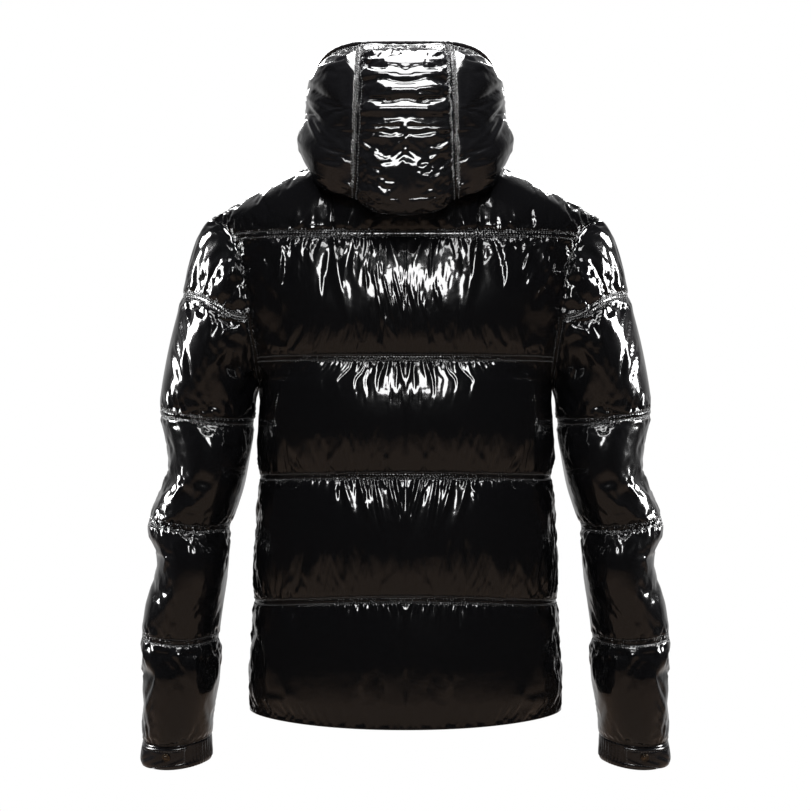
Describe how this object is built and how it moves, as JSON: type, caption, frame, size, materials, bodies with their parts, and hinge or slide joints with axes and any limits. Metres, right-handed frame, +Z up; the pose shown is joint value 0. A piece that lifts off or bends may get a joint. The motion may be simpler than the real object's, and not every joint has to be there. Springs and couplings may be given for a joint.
{
  "type": "puffer jacket",
  "caption": "Glossy quilted puffer jacket with a lowered hood and a front zip, filled out as if worn, open at neck, hem and cuffs.",
  "frame": {"origin": "middle of the neck base, between the two ends of the shoulder seams at the neck, where the wearer's shoulders and neck carry the jacket", "axes": "+Z up along the wearer's spine, +Y the way the wearer faces, +X to the wearer's right; the back of the jacket faces -Y"},
  "size_m": [0.6474, 0.3143, 0.8693],
  "materials": {
    "black_nylon": "high gloss coated nylon over padding",
    "binding_tape": "glossy bound edge",
    "zip_tape": "matt woven tape",
    "dark_metal": "dark antique plating"
  },
  "bodies": {
    "jacket": {"back": "black_nylon", "front_left": "black_nylon", "front_right": "black_nylon", "sleeve_left": "black_nylon", "sleeve_right": "black_nylon", "cuff_left": "black_nylon", "cuff_right": "black_nylon", "cuff_tab_left": "black_nylon", "cuff_tab_right": "black_nylon", "cuff_snap_left": "dark_metal", "cuff_snap_right": "dark_metal", "hood_centre": "black_nylon", "hood_side_left": "black_nylon", "hood_side_right": "black_nylon", "hood_binding": "binding_tape", "zip_tape_left": "zip_tape", "zip_tape_right": "zip_tape", "zip_slider": "dark_metal"},
    "zip_pull": {"zip_pull": "dark_metal"}
  },
  "joints": [
    {"name": "zip_pull_hinge", "type": "hinge", "parent": "jacket", "child": "zip_pull", "pos_m": [0, 0.09857, -0.004], "axis": [1, 0, 0], "range_deg": [0, 150]}
  ]
}
